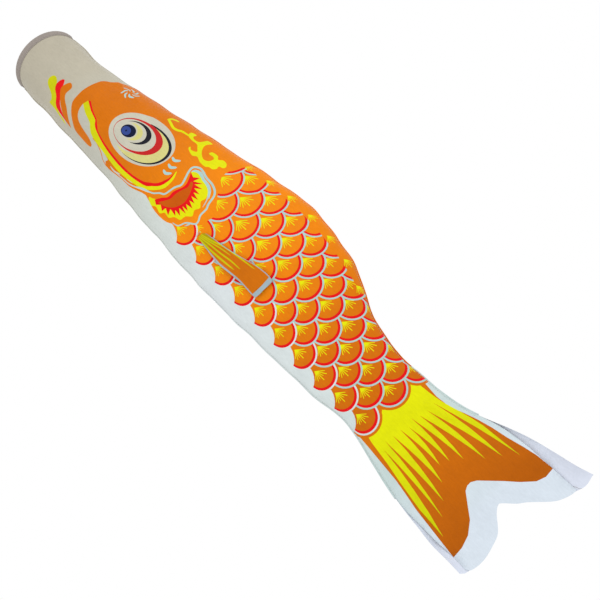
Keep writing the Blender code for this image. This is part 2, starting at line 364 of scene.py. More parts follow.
def print_shapes():
    """The printed shapes of a panel in mm, in the order they are laid down.

    Many points here, and in tail_rays, flames, TAIL_END, FIN_EDGE and FIN_RAYS, were not worked out by
    hand: they were picked on the photograph and turned into cloth coordinates by a converter.
    """
    s = []

    # Tail, with its yellow rays
    s.append(("tail", np.array([(58, 765), (52, 795), (50, 817), (52, 836), (59, 855), (65, 873), (70, 892),
        (74, 912), (79, 932), (83, 951), (86, 975), (72, 976), (60, 972), (45, 959), (33, 946),
        (23, 936), (10, 923), (3, 919), (-3, 919), (-9, 922), (-20, 936), (-30, 949), (-45, 960), (-61, 965),
        (-78, 966), (-73, 935), (-69, 896), (-65, 874), (-62, 854), (-59, 807), (-58, 765)])))
    s.append(("yellow", tail_rays()))

    # Scales, and the plain strip along the back
    s += scales()
    s.append(("orange", np.array([(140, 395), (96, 400), (99, 412), (103, 459), (104, 500), (102, 546),
        (95, 588), (88, 620), (80, 652), (100, 652), (125, 640), (140, 610), (150, 570), (150, 530),
        (150, 490), (150, 450), (150, 420)])))
    for across, down in ((101, 397), (106, 438), (110, 478), (110, 520), (107, 561), (98, 602), (84, 640)):
        s.append(fan(across, down, 0.85))

    # Head
    s.append(("orange", np.concatenate((
        curve([(128, 170), (100, 160), (73, 153), (56, 145), (44, 135), (31, 132), (18, 131), (0, 130),
            (-14, 130), (-23, 134), (-37, 146), (-47, 158), (-49, 176), (-49, 191), (-47, 198)], steps=3),
        curve([(-43, 198), (-38, 189), (-34, 170), (-28, 156), (-19, 149), (-6, 147)], steps=3),
        curve([(-13, 160), (-19, 176), (-30, 190), (-36, 214), (-41, 236), (-46, 233), (-52, 238), (-51, 251),
            (-47, 274), (-46, 292), (-41, 308), (-36, 325), (-42, 345), (-44, 362), (-42, 378), (-37, 388),
            (-32, 402), (-20, 408)], steps=2),
        curve([(-14, 416), (-8, 425), (3, 427), (13, 429), (26, 420), (40, 407), (50, 400), (60, 392),
            (74, 392), (90, 398), (150, 410)], steps=2),
        np.array([(150, 370), (150, 330), (150, 290), (150, 250), (150, 210), (145, 190)]),
    ))))
    s.append(("orange", stroke([(-34, 184), (-34, 203), (-41, 219), (-48, 227), (-52, 238)], 1.6, (0.6, 1))))

    # Lips
    s.append(("yellow", blob([(-6, 80), (-8, 74), (-16, 71), (-24, 76), (-31, 89), (-38, 93), (-45, 91),
        (-46, 107), (-53, 134), (-49, 130), (-45, 116), (-38, 107), (-28, 101), (-20, 92), (-11, 87)])))
    s.append(("red", blob([(-1, 96), (-3, 91), (-13, 88), (-21, 91), (-28, 100), (-40, 107), (-45, 121),
        (-50, 148), (-44, 128), (-36, 116), (-24, 107), (-14, 102)])))
    s.append(("orange", blob([(3, 109), (1, 104), (-10, 99), (-19, 102), (-32, 114), (-44, 127), (-50, 148),
        (-41, 138), (-29, 127), (-22, 117), (-14, 112), (-2, 114)])))

    # Mouth and jaw
    s.append(("pale", blob([(-7, 149), (-19, 150), (-27, 158), (-34, 178), (-38, 196), (-34, 196), (-31, 190),
        (-24, 182), (-18, 175), (-13, 161)])))
    s.append(("pale", stroke([(-46, 245), (-47, 256), (-43, 268)], 2.6)))
    s.append(("pale", stroke([(-48, 252), (-45, 274), (-43, 291), (-35, 312), (-30, 326)], 1.8)))
    s.append(("pale", stroke([(-40, 280), (-38, 291), (-34, 302)], 2.4)))
    s.append(("yellow", np.concatenate((
        curve([(-6, 147), (-13, 160), (-19, 176), (-24, 181), (-32, 193), (-38, 224), (-42, 264), (-36, 303),
            (-29, 321), (-18, 335), (-7, 343), (9, 344), (21, 339)], steps=3),
        curve([(18, 338), (5, 339), (-10, 334), (-20, 323), (-28, 310), (-34, 270), (-31, 228), (-22, 197),
            (-16, 186), (-10, 181), (-5, 166), (3, 150)], steps=3),
    ))))
    s.append(("red", np.concatenate((
        curve([(3, 150), (-5, 166), (-10, 181), (-16, 186), (-22, 197), (-31, 228), (-34, 271), (-28, 311),
            (-20, 324), (-10, 335), (5, 340), (19, 338)], steps=3),
        curve([(5, 337), (-10, 329), (-19, 317), (-25, 305), (-30, 277), (-28, 233), (-21, 201), (-15, 191),
            (-8, 182), (-3, 169), (5, 154)], steps=3),
    ))))

    # Eye: a pale ground, then rings that are thick towards the gill, and the pupil
    rings = (
        ("ivory", (18, 259), (56.5, 38), -104),
        ("black", (16, 265), (48, 30.5), -106),
        ("cream", (14.6, 262.4), (46.2, 28.8), -106),
        ("ivory", (15, 246), (40, 27), -106),
        ("eye_red", (17, 252), (42, 25.4), -106),
        ("ivory", (15, 247), (35.8, 22.5), -106),
        ("black", (19, 246), (25.5, 16.8), -107),
        ("ivory", (16.4, 241.6), (22.6, 15.4), -107),
        ("cream", (15.4, 239), (19, 13), -109),
        ("ivory", (12.4, 232.4), (17.4, 12.6), -108),
        ("navy", (13, 235), (12.5, 9.7), -110),
        ("blue", (11, 232), (7.7, 6.6), -103),
        ("navy", (11, 232), (1.6, 1.4), 0),
    )
    for ink, centre, radii, lean in rings:
        s.append((ink, oval(centre, radii, lean, 56)))

    # Pinwheel on the forehead and crescents on the cheek
    hub_across, hub_down = 60, 179
    for k in range(7):
        a = math.radians(51.4 * k + 20)
        swirl = [
            (hub_across + r * math.cos(a + turn), hub_down + r * math.sin(a + turn))
            for r, turn in ((4.5, 0.4), (9, 0.25), (14.5, -0.3))
        ]
        s.append(("line", stroke(swirl, 2.7, (0.1, 0.3))))
    for across, down in ((9, 321), (20, 320), (31, 316)):
        crescent = [(across, down), (across - 1.5, down + 7), (across + 4.5, down + 14)]
        s.append(("line", stroke(crescent, 4.4, (0.1, 0.2))))

    # Cloud on the back of the head
    stem = [(70, 258), (67, 267), (64, 277), (66, 285), (70, 291), (73, 304)]
    s.append(("yellow", stroke(stem, 4.2, (1, 0.6))))
    s.append(("yellow", stroke([(68, 259), (74, 260), (78, 265), (80, 271)], 4, (0.9, 0.1))))
    s.append(("yellow", blob([(72, 302), (80, 299), (83, 308), (77, 308), (74, 313), (76, 321), (83, 324),
        (90, 326), (91, 335), (83, 332), (75, 333), (66, 340), (61, 349), (62, 355), (66, 359), (72, 360),
        (74, 356), (73, 348), (78, 348), (80, 353), (80, 360), (76, 365), (81, 371), (80, 379), (75, 383),
        (71, 381), (69, 375), (64, 376), (59, 372), (58, 366), (54, 361), (54, 350), (57, 341),
        (53, 335), (54, 328), (57, 321), (61, 321),
        (58, 326), (62, 334), (67, 329), (71, 323), (70, 313)])))

    # Gill: pale line, frill, red flames and a dark core
    gill = [(-38, 303), (-32, 315), (-27, 331), (-19, 341), (-14, 349), (2, 354), (11, 359), (20, 357),
        (32, 352), (41, 351), (47, 358), (47, 366), (44, 377), (43, 390), (39, 401), (32, 407),
        (19, 410), (12, 413),
        (0, 413), (-8, 417), (-14, 416), (-22, 404), (-33, 397), (-36, 387)]
    s.append(("line", stroke(gill, 3.2, (0.3, 0.3))))
    s.append(("line", blob([(34, 355), (41, 356), (45, 366), (41, 377), (40, 388), (35, 398), (24, 405),
        (31, 396), (35, 386), (37, 374), (38, 365)], 2)))
    s.append(("yellow", blob([(34, 355), (40, 363), (38, 374), (37, 386), (32, 396), (22, 401), (14, 399),
        (7, 405), (-1, 401), (-9, 405), (-16, 397), (-25, 394), (-28, 384), (-35, 377), (-34, 367),
        (-40, 361), (-37, 350), (-41, 342), (-38, 335), (-34, 331),
        (-30, 341), (-14, 358), (10, 365), (24, 365)])))
    s.append(("line", stroke([(38, 374), (36, 388), (31, 397), (21, 404), (10, 407)], 1.7, (0.9, 0.1))))
    s.append(("red", flames()))
    s.append(("core", blob([(-30, 349), (-22, 355), (-13, 361), (-5, 362), (6, 365), (16, 369), (24, 366),
        (25, 370), (19, 374), (9, 379), (-4, 381), (-17, 375), (-26, 364)])))
    return [(ink, (outline - (0, PRINT_RISE)) * MM) for ink, outline in s]


def leaf_side(start, end, bulge):
    """One side of the narrow leaf between two rays, bowed towards the back."""
    side = []
    for t in (0.25, 0.5, 0.75):
        bow = bulge * (4 * t * (1 - t))
        side.append((start[0] + (end[0] - start[0]) * t + bow, start[1] + (end[1] - start[1]) * t))
    return side


def tail_rays():
    """The tail's yellow ground, which ends in eleven curved rays."""
    tips = ((69, 938), (53, 924), (36, 912), (17, 894), (3, 884), (-9, 879), (-22, 896), (-37, 912),
        (-52, 925), (-68, 941))
    roots = ((41, 820), (28, 820), (17, 819), (7, 814), (-3, 820), (-13, 814), (-25, 813), (-37, 811),
        (-46, 817))
    line = list(curve([(45, 789), (47, 806), (50, 826), (57, 850), (64, 882)], steps=2))
    for k, tip in enumerate(tips):
        line.append(tip)
        if k < len(roots):
            line += leaf_side(tip, roots[k], 1.6)
            line.append(roots[k])
            line += leaf_side(roots[k], tips[k + 1], 2.9)
    line += list(curve([(-66, 900), (-60, 860), (-55, 830), (-51, 800), (-48, 789)], steps=2))
    line += list(curve([(-47, 789), (-32, 790), (-20, 787), (-11, 781)], steps=2))
    line += list(curve([(-11, 782), (0, 790), (13, 791), (26, 787), (31, 779)], steps=2))
    line += list(curve([(31, 781), (35, 778), (44, 776), (46, 780)], steps=2))
    return np.array(line)


def flames():
    """The gill's red flames: a wavy upper edge and pointed tongues below."""
    upper = [(-31, 341), (-21, 349), (-14, 356), (-3, 357), (10, 363), (20, 363), (34, 355)]
    tongues = [(31, 363), (37, 371), (27, 368), (34, 381), (25, 373), (28, 387), (21, 377), (20, 390),
        (16, 381), (13, 394), (10, 383), (6, 394), (4, 385), (-1, 397), (-3, 385), (-8, 394), (-9, 383),
        (-13, 395),
        (-14, 381), (-21, 390), (-20, 378), (-26, 384), (-24, 371), (-33, 374), (-28, 364), (-35, 362),
        (-30, 354), (-35, 348)]
    return np.array(list(curve(upper, steps=3)) + tongues)


# ---------------------------------------------------------------- from flat print to mesh


def inside(points, outline):
    """Which points are inside a closed outline."""
    x, y = points[:, 0], points[:, 1]
    hit = np.zeros(len(points), bool)
    ax, ay = outline[:, 0], outline[:, 1]
    bx, by = np.roll(ax, -1), np.roll(ay, -1)
    for x0, y0, x1, y1 in zip(ax, ay, bx, by):
        if y0 != y1:
            crosses = (y0 > y) != (y1 > y)
            hit ^= crosses & (x < (x1 - x0) * (y - y0) / (y1 - y0) + x0)
    return hit


def cut_cloth(edge, shapes, base, cuts=(), step=MESH_STEP):
    """Triangles of a flat cloth with the ink of each, from its edge and the shapes printed on it."""
    points, lines = [], []

    def take(outline):
        start = len(points)
        points.extend(Vector(p) for p in outline)
        n = len(outline)
        lines.extend((start + i, start + (i + 1) % n) for i in range(n))

    take(edge)
    for _, outline in shapes:
        take(outline)
    low, high = edge.min(0), edge.max(0)
    for cut in cuts:
        for k, across in enumerate(np.arange(low[0] - 0.01, high[0] + 0.01, 0.004)):
            if k:
                lines.append((len(points) - 1, len(points)))
            points.append(Vector((across, cut)))
    count = np.ceil((high - low) / step).astype(int)
    for i in range(count[1]):
        shift = 0.5 * (i % 2)
        for j in range(count[0]):
            points.append(Vector((low[0] + (j + shift) * step, low[1] + (i + 0.5) * step * 0.94)))
    verts, _, faces, *_ = delaunay_2d_cdt(points, lines, [], 0, 1e-6, False)
    verts = np.array(verts)
    faces = np.array([f for f in faces if len(f) == 3])
    centre = verts[faces].mean(1)
    keep = inside(centre, edge)
    faces, centre = faces[keep], centre[keep]
    inks = np.full(len(faces), base, dtype=object)
    for ink, outline in shapes:
        lo, hi = outline.min(0), outline.max(0)
        near = np.nonzero(((centre >= lo) & (centre <= hi)).all(1))[0]
        inks[near[inside(centre[near], outline)]] = ink
    return verts, faces, inks


def add_mesh(name, verts, faces, inks, flat, materials=None):
    """A smooth mesh with a material for each face and a cloth map for each point."""
    mesh = bpy.data.meshes.new(name)
    mesh.from_pydata([tuple(v) for v in verts], [], faces)
    names = sorted(set(inks))
    for ink in names:
        mesh.materials.append((materials or MATERIALS)[ink])
    mesh.polygons.foreach_set("material_index", [names.index(i) for i in inks])
    mesh.polygons.foreach_set("use_smooth", [True] * len(faces))
    layer = mesh.uv_layers.new(name="Cloth")
    layer.data.foreach_set("uv", [c for loop in mesh.loops for c in flat[loop.vertex_index]])
    piece = bpy.data.objects.new(name, mesh)
    bpy.context.collection.objects.link(piece)
    return piece


def cloth_piece(name, flat, faces, inks, place, normal, materials, mirrored):
    """A mesh of laid cloth, shaded with the cloth's own normals."""
    used, index = np.unique(faces, return_inverse=True)
    faces = index.reshape(-1, 3)
    if mirrored:
        faces = faces[:, ::-1]
    piece = add_mesh(name, place[used], faces.tolist(), inks, flat[used], materials)
    piece.data.normals_split_custom_set_from_vertices(normal[used].tolist())
    return piece


# ---------------------------------------------------------------- materials


def linear(r, g, b):
    """A display colour of 0 to 255 as the shader's own values."""
    out = []
    for c in (r, g, b):
        c = c / 255
        out.append(c / 12.92 if c <= 0.04045 else ((c + 0.055) / 1.055) ** 2.4)
    return (*out, 1.0)


class Nodes:
    """A small helper that wires up a material."""

    def __init__(self, name):
        self.material = bpy.data.materials.new(name)
        self.material.use_nodes = True
        self.tree = self.material.node_tree
        self.shader = self.tree.nodes["Principled BSDF"]

    def add(self, kind, **values):
        node = self.tree.nodes.new(kind)
        for key, value in values.items():
            if key in node.inputs:
                node.inputs[key].default_value = value
            else:
                setattr(node, key, value)
        return node

    def link(self, a, b):
        self.tree.links.new(a, b)


def cloth(name, colours, roughness=0.42, sheen=0.02, weave=1.0, streak=0.08):
    """Thin nylon taffeta. Colours are one colour, or (distance below the hoop, colour) stops."""
    n = Nodes(name)
    uv = n.add("ShaderNodeUVMap", uv_map="Cloth")
    # Stops along the body: for the plain cloth, orange, tail and yellow inks they hold painted light and
    # shade as well as the cloth's colour
    if isinstance(colours[0], tuple):
        split = n.add("ShaderNodeSeparateXYZ")
        n.link(uv.outputs["UV"], split.inputs["Vector"])
        ramp = n.add("ShaderNodeValToRGB")
        stops = ramp.color_ramp.elements
        while len(stops) < len(colours):
            stops.new(0.5)
        for stop, (at, colour) in zip(stops, colours):
            stop.position = at
            stop.color = linear(*colour)
        n.link(split.outputs["Y"], ramp.inputs["Fac"])
        base = ramp.outputs["Color"]
    else:
        base = None
    # Ink takes unevenly: broad clouds and streaks along the warp
    stretch = n.add("ShaderNodeMapping", Scale=(1.0, 0.22, 1.0))
    n.link(uv.outputs["UV"], stretch.inputs["Vector"])
    clouds = n.add("ShaderNodeTexNoise", Scale=38.0, Detail=5.0, Roughness=0.6)
    n.link(uv.outputs["UV"], clouds.inputs["Vector"])
    streaks = n.add("ShaderNodeTexNoise", Scale=420.0, Detail=3.0, Roughness=0.6)
    n.link(stretch.outputs["Vector"], streaks.inputs["Vector"])
    uneven = n.add("ShaderNodeMath", operation="ADD")
    n.link(clouds.outputs["Fac"], uneven.inputs[0])
    n.link(streaks.outputs["Fac"], uneven.inputs[1])
    value = n.add("ShaderNodeMapRange", **{
        "From Min": 0.7, "From Max": 1.3, "To Min": 1.0 - streak, "To Max": 1.0 + streak * 0.6,
    })
    n.link(uneven.outputs[0], value.inputs["Value"])
    tint = n.add("ShaderNodeHueSaturation")
    if base is None:
        tint.inputs["Color"].default_value = linear(*colours)
    else:
        n.link(base, tint.inputs["Color"])
    n.link(value.outputs["Result"], tint.inputs["Value"])
    n.link(tint.outputs["Color"], n.shader.inputs["Base Color"])
    # Plain weave, two threads to the millimetre each way
    warp = n.add("ShaderNodeTexWave", wave_type="BANDS", bands_direction="X", Scale=628.0)
    weft = n.add("ShaderNodeTexWave", wave_type="BANDS", bands_direction="Y", Scale=628.0)
    for wave_node in (warp, weft):
        n.link(uv.outputs["UV"], wave_node.inputs["Vector"])
    threads = n.add("ShaderNodeMath", operation="MULTIPLY")
    n.link(warp.outputs["Fac"], threads.inputs[0])
    n.link(weft.outputs["Fac"], threads.inputs[1])
    creases = n.add("ShaderNodeTexNoise", Scale=55.0, Detail=4.0, Roughness=0.55, Distortion=0.6)
    n.link(uv.outputs["UV"], creases.inputs["Vector"])
    soft = n.add("ShaderNodeBump", Strength=0.35, Distance=0.004)
    n.link(creases.outputs["Fac"], soft.inputs["Height"])
    fine = n.add("ShaderNodeBump", Strength=0.18 * weave, Distance=0.0002)
    n.link(threads.outputs[0], fine.inputs["Height"])
    n.link(soft.outputs["Normal"], fine.inputs["Normal"])
    n.link(fine.outputs["Normal"], n.shader.inputs["Normal"])
    gloss = n.add("ShaderNodeMapRange", **{
        "From Min": 0.3, "From Max": 0.7, "To Min": roughness - 0.07, "To Max": roughness + 0.10,
    })
    n.link(clouds.outputs["Fac"], gloss.inputs["Value"])
    n.link(gloss.outputs["Result"], n.shader.inputs["Roughness"])
    n.shader.inputs["Sheen Weight"].default_value = sheen
    n.shader.inputs["Sheen Roughness"].default_value = 0.4
    n.shader.inputs["Specular IOR Level"].default_value = 0.08
    return n.material


def wire(name, colour, roughness):
    """Drawn metal with fine lines along it and dull spots."""
    n = Nodes(name)
    at = n.add("ShaderNodeTexCoord")
    spots = n.add("ShaderNodeTexNoise", Scale=300.0, Detail=4.0)
    n.link(at.outputs["Object"], spots.inputs["Vector"])
    shade = n.add("ShaderNodeMapRange", **{"To Min": roughness - 0.1, "To Max": roughness + 0.2})
    n.link(spots.outputs["Fac"], shade.inputs["Value"])
    n.link(shade.outputs["Result"], n.shader.inputs["Roughness"])
    ramp = n.add("ShaderNodeValToRGB")
    ramp.color_ramp.elements[0].color = linear(*[0.75 * c for c in colour])
    ramp.color_ramp.elements[1].color = linear(*colour)
    n.link(spots.outputs["Fac"], ramp.inputs["Fac"])
    n.link(ramp.outputs["Color"], n.shader.inputs["Base Color"])
    bump = n.add("ShaderNodeBump", Strength=0.15, Distance=0.0001)
    n.link(spots.outputs["Fac"], bump.inputs["Height"])
    n.link(bump.outputs["Normal"], n.shader.inputs["Normal"])
    n.shader.inputs["Metallic"].default_value = 1.0
    return n.material


# Stops are the distance below the hoop in metres and the colour there
# The plain cloth's stops carry painted shade and light: darker taupe near the mouth where the tube is shaded,
# paler and bluish towards the tail where light shines through; the left panel's tail margin is painted darker
# than the right's single layer for the shade of the two cloths together
PALE_LEFT = (
    (0.00, (178, 171, 153)),
    (0.10, (184, 178, 160)),
    (0.22, (190, 190, 178)),
    (0.34, (205, 212, 206)),
    (0.50, (216, 223, 225)),
    (0.72, (212, 222, 221)),
    (0.84, (196, 213, 211)),
    (0.95, (215, 225, 235)),
)
PALE_RIGHT = PALE_LEFT[:6] + (
    (0.87, (212, 220, 232)),
    (0.96, (218, 224, 238)),
)
# The orange ink's stops carry painted light and shade: brightest on the trunk's middle where the light falls,
# darker towards the head and the tail
ORANGE = (
    (0.12, (206, 108, 2)),
    (0.26, (214, 114, 2)),
    (0.40, (238, 134, 4)),
    (0.54, (236, 132, 4)),
    (0.68, (212, 112, 2)),
    (0.80, (200, 102, 0)),
)
# Painted shade: the tail's orange is darker than the body's and darkens further towards the tip, which turns
# away from the light
TAIL_ORANGE = (
    (0.76, (214, 114, 2)),
    (0.88, (200, 104, 2)),
    (0.96, (180, 90, 0)),
)
# The yellow's stops carry painted shade: darker at the lips and at the tail's tips, brighter on the lit
# middle of the body
YELLOW = (
    (0.08, (196, 196, 0)),
    (0.30, (216, 218, 0)),
    (0.45, (226, 226, 0)),
    (0.80, (226, 228, 0)),
    (0.94, (200, 204, 0)),
)
INKS = {
    "orange": ORANGE,
    "tail": TAIL_ORANGE,
    "yellow": YELLOW,
    "red": (226, 14, 20),
    "eye_red": (192, 34, 34),
    "line": (170, 204, 200),
    "ivory": (196, 193, 176),
    "cream": (208, 202, 128),
    "black": (28, 28, 38),
    "navy": (14, 20, 52),
    "blue": (52, 72, 140),
    "core": (196, 86, 0),
    # fin and fin_ray are the orange and yellow painted darker for the shade the loose fin hangs in; fin_hem's
    # grey is partly the printed edging and partly painted shade on the pale cloth at the fin's end
    "fin": (204, 108, 2),
    "fin_ray": (196, 190, 0),
    "fin_root": (170, 150, 8),
    "fin_hem": (158, 176, 184),
}
MATERIALS = {ink: cloth("ink_" + ink, colour) for ink, colour in INKS.items()}
MATERIALS["pale"] = cloth("plain_cloth", PALE_LEFT, streak=0.06)
PLAIN_RIGHT = dict(MATERIALS, pale=cloth("plain_cloth_right", PALE_RIGHT, streak=0.04))
# The hem is the panels' own cloth painted a darker grey-brown, as painted shade on the folded band round the
# hoop
MATERIALS["hem"] = cloth("hem_cloth_painted_shade", (156, 147, 140), roughness=0.7, weave=3.0)
MATERIALS["thread"] = cloth("sewing_thread", (206, 206, 198), roughness=0.7)
# The hem's stitches are painted dark so that their row reads as a painted shadow line along the hem's lower
# edge; the loose thread shares this colour
MATERIALS["hem_thread"] = cloth("hem_thread", (140, 132, 124), roughness=0.7)


# ---------------------------------------------------------------- panels

LEFT, RIGHT = Panel(-1), Panel(1)

TAIL_END = {
    -1: [(93, 1010), (81, 1011), (67, 1007), (55, 1000), (35, 982), (24, 974), (12, 962), (7, 960), (-2, 966),
        (-17, 982), (-32, 988), (-49, 992), (-64, 992), (-80, 988), (-92, 985)],
    1: [(112, 1012), (97, 1015), (80, 1010), (66, 1005), (55, 999), (35, 981), (24, 973), (12, 961), (7, 959),
        (-2, 965), (-17, 981), (-32, 987), (-49, 991), (-64, 991), (-80, 988), (-96, 984)],
}


def panel_edge(panel):
    """The panel's flat outline: mouth, belly edge, tail and back edge."""
    end = (curve(TAIL_END[panel.side], steps=4) - (0, PRINT_RISE)) * MM
    back_end, belly_end = end[0, 1], end[-1, 1]
    down = np.arange(PANEL_TOP, back_end - 0.003, 0.005)
    back = np.stack((panel.edges(down)[0], down), 1)
    down = np.arange(PANEL_TOP, belly_end - 0.003, 0.005)
    belly = np.stack((panel.edges(down)[1], down), 1)
    first = np.array([(panel.edges(back_end)[0], back_end)])
    last = np.array([(panel.edges(belly_end)[1], belly_end)])
    keep = (end[:, 0] < first[0, 0] - 0.002) & (end[:, 0] > last[0, 0] + 0.002)
    across = np.arange(belly[0, 0] + 0.003, back[0, 0] - 0.002, 0.003)
    mouth = np.stack((across, np.full(len(across), PANEL_TOP)), 1)
    return np.concatenate((back, first, end[keep], last, belly[::-1], mouth))


def outside(shapes, panel):
    """The shapes, held inside the panel's edges so that nothing is drawn beyond them."""
    held = []
    for ink, outline in shapes:
        back, belly = panel.edges(outline[:, 1])
        if panel.side > 0 and ink == "tail":
            back = np.minimum(back, LEFT.edges(outline[:, 1])[0] - 0.008)
            belly = np.maximum(belly, LEFT.edges(outline[:, 1])[1] + 0.005)
        outline = outline.copy()
        outline[:, 0] = np.clip(outline[:, 0], belly - 0.0004, back + 0.0004)
        held.append((ink, outline))
    return held


STAGES = (
    ("head", "mouth", "trunk", PANEL_TOP, CUTS[0]),
    ("body", "trunk", "stock", CUTS[0], CUTS[1]),
    ("tail", "stock", "tail", CUTS[1], 1.05),
)
CAD_NODES = {"head": ("head", "trunk"), "body": ("stock",), "tail": ("tail",)}


def ends(k):
    """Where a piece starts and stops bending across its joint."""
    at, reach = BENDS[k]
    return dict(start=(0, 0, -(at - reach)), end=(0, 0, -(at + reach)))


def make_panels():
    """Each side's printed cloth, cut across into three pieces that meet edge to edge."""
    shapes = print_shapes()
    for label, panel, materials in (("left", LEFT, MATERIALS), ("right", RIGHT, PLAIN_RIGHT)):
        flat, faces, inks = cut_cloth(panel_edge(panel), outside(shapes, panel), "pale", CUTS)
        place, normal = panel.lay(flat)
        down = flat[faces].mean(1)[:, 1]
        for k, (area, first, second, top, bottom) in enumerate(STAGES):
            take = (down >= top) & (down < bottom)
            own = faces[take]
            piece = cloth_piece(
                f"cloth_{area}_{label}", flat, own, inks[take], place, normal, materials, panel.side < 0
            )
            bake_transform(piece)
            for node in CAD_NODES[area]:
                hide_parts(f"{node}_{label}")
            if label == "left":
                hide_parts(("fold_neck", "fold_waist", "fold_tail")[k])


make_panels()


# ---------------------------------------------------------------- seams, hem and fins


def loft(rings, capped=True):
    """Faces between rings of the same number of points, counted from the first ring."""
    n, faces = len(rings[0]), []
    for i in range(len(rings) - 1):
        for j in range(n):
            k = (j + 1) % n
            faces.append((i * n + j, i * n + k, (i + 1) * n + k, (i + 1) * n + j))
    if capped:
        faces.append(tuple(range(n))[::-1])
        faces.append(tuple(range((len(rings) - 1) * n, len(rings) * n)))
    return faces


def stitch_row(places, normals, pitch=0.0036, length=0.0026, thick=0.0002):
    """Small thread lozenges along a line of places."""
    places, normals = np.asarray(places), np.asarray(normals)
    run = np.concatenate(([0], np.cumsum(np.linalg.norm(np.diff(places, axis=0), axis=1))))
    verts, faces = [], []

    def at(s):
        return np.array([np.interp(s, run, places[:, k]) for k in range(3)])

    for k in range(int(run[-1] / pitch)):
        s = (k + 0.5) * pitch
        first, last = at(s - length / 2), at(s + length / 2)
        up = normals[min(np.searchsorted(run, s), len(normals) - 1)]
        along = (last - first) / max(np.linalg.norm(last - first), 1e-9)
        side = np.cross(along, up)
        middle = (first + last) / 2
        base = len(verts)
        verts += [first, last, middle + side * thick, middle + up * thick * 1.6, middle - side * thick,
            middle - up * thick]
        for a, b in ((2, 3), (3, 4), (4, 5), (5, 2)):
            faces.append((base, base + b, base + a))
            faces.append((base + 1, base + a, base + b))
    return verts, faces


SEAM_OUT = 0.0004  # how far the fold's middle stands outside the panels' edge
SEAM_HALF_DEPTH = 0.0011
SEAM_HALF_THICKNESS = 0.0007
SEAM_SIDES = 8
SEAM_STITCH_INSET = 0.0035
ORANGE_BACK = (0.150, 0.762)  # the stretch of the back seam that carries the orange print


def make_seams():
    """The sewn edges: a narrow fold of cloth with a row of stitches beside it on each panel."""
    for edge, label in ((0, "back"), (1, "belly")):
        for k, (area, first, second, top, bottom) in enumerate(STAGES):
            bottom = min(bottom, SEAM_END)
            down = np.linspace(top, bottom, max(2, round((bottom - top) / 0.005)))
            across = LEFT.edges(down)[edge]
            line, _ = LEFT.lay(np.stack((across, down), 1))
            out = 1 if edge == 0 else -1
            rings, flat, inks = [], [], []
            for (x, y, z), d in zip(line, down):
                for j in range(SEAM_SIDES):
                    a = 2 * math.pi * j / SEAM_SIDES
                    middle = x + out * SEAM_OUT
                    deep, thick = SEAM_HALF_DEPTH * math.cos(a), SEAM_HALF_THICKNESS * math.sin(a)
                    rings.append((middle + deep, y + thick, z))
                    flat.append((0.001 * j, d))
            faces = loft([range(SEAM_SIDES)] * len(down))
            for face in faces:
                d = flat[face[0]][1]
                printed = edge == 0 and ORANGE_BACK[0] < d < ORANGE_BACK[1]
                inks.append("orange" if printed else "pale")
            for panel in (LEFT, RIGHT):
                inset = panel.edges(down)[edge] - out * SEAM_STITCH_INSET
                places, normals = panel.lay(np.stack((inset, down), 1), 0.0001)
                verts, more = stitch_row(places, normals)
                faces += [tuple(i + len(rings) for i in face) for face in more]
                rings += verts
                flat += [(0, -v[2]) for v in verts]
                inks += ["thread"] * len(more)
            piece = add_mesh(f"seam_{label}_{area}", rings, faces, inks, flat)
            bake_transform(piece)
            for node in CAD_NODES[area]:
                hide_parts(f"{label}_seam_{node}")


HEM_TOP = 0.0028
HEM_LOW = 0.0075
HEM_OPENING = 0.010
HEM_STITCH_LOW = 0.0056
HEM_STITCH_LIFT = 0.0008


def make_hem():
    """Cloth folded over the hoop and stitched below it, open at the back and at the belly."""
    # Distance outside the wire's circle, and height; low down, the distance off the panel's cloth
    profile = curve([(0.0005, -HEM_LOW), (0.0006, -0.0058), (0.0012, -0.003), (0.0026, 0.0),
        (0.0019, 0.0021), (0.0, HEM_TOP), (-0.0019, 0.0020), (-0.0024, 0.0), (-0.0012, -0.0030),
        (-0.0006, -0.0055), (-0.0004, -HEM_LOW)], steps=2)
    gap = HEM_OPENING / HOOP_RADIUS / 2
    for label, start, panel in (("right", 0.0, RIGHT), ("left", math.pi, LEFT)):
        angles = np.linspace(start + gap, start + math.pi - gap, 120)

        def at(a, out, up):
            """A point of the hem: round the wire at the top, on the panel's cloth lower down."""
            radius = HOOP_RADIUS + out
            round_wire = np.array((radius * math.cos(a), radius * math.sin(a), up))
            back, belly = panel.edges(-up)
            share = min(a, 2 * math.pi - a) / math.pi
            on_cloth = panel.lay([(back - (back - belly) * share, max(-up, 0))], out)[0][0]
            t = ease((-up - 0.0008) / 0.0036)
            return round_wire * (1 - t) + on_cloth * t

        rings, flat = [], []
        for a in angles:
            pucker = 0.00025 * math.sin(a * 97) + 0.0003 * noise.noise(Vector((a * 9, 0, 0)))
            for j, (out, up) in enumerate(profile):
                share = math.exp(-(((up + 0.0045) / 0.0022) ** 2))
                rings.append(at(a, out + pucker * share, up + 0.2 * pucker))
                flat.append((a * HOOP_RADIUS, 0.001 * j))
        faces = loft([profile] * len(angles))
        inks = ["hem"] * len(faces)
        # The stitch row below the hem is coloured as a painted shadow line
        places = [at(a, HEM_STITCH_LIFT, -HEM_STITCH_LOW) for a in angles]
        normals = [(math.cos(a), math.sin(a), 0) for a in angles]
        verts, more = stitch_row(places, normals)
        faces += [tuple(i + len(rings) for i in face) for face in more]
        rings += verts
        flat += [(0, 0)] * len(verts)
        inks += ["hem_thread"] * len(more)
        piece = add_mesh("hem_" + label, rings, faces, inks, flat)
        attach(piece, "mouth")
        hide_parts("mouth_hem_" + label)


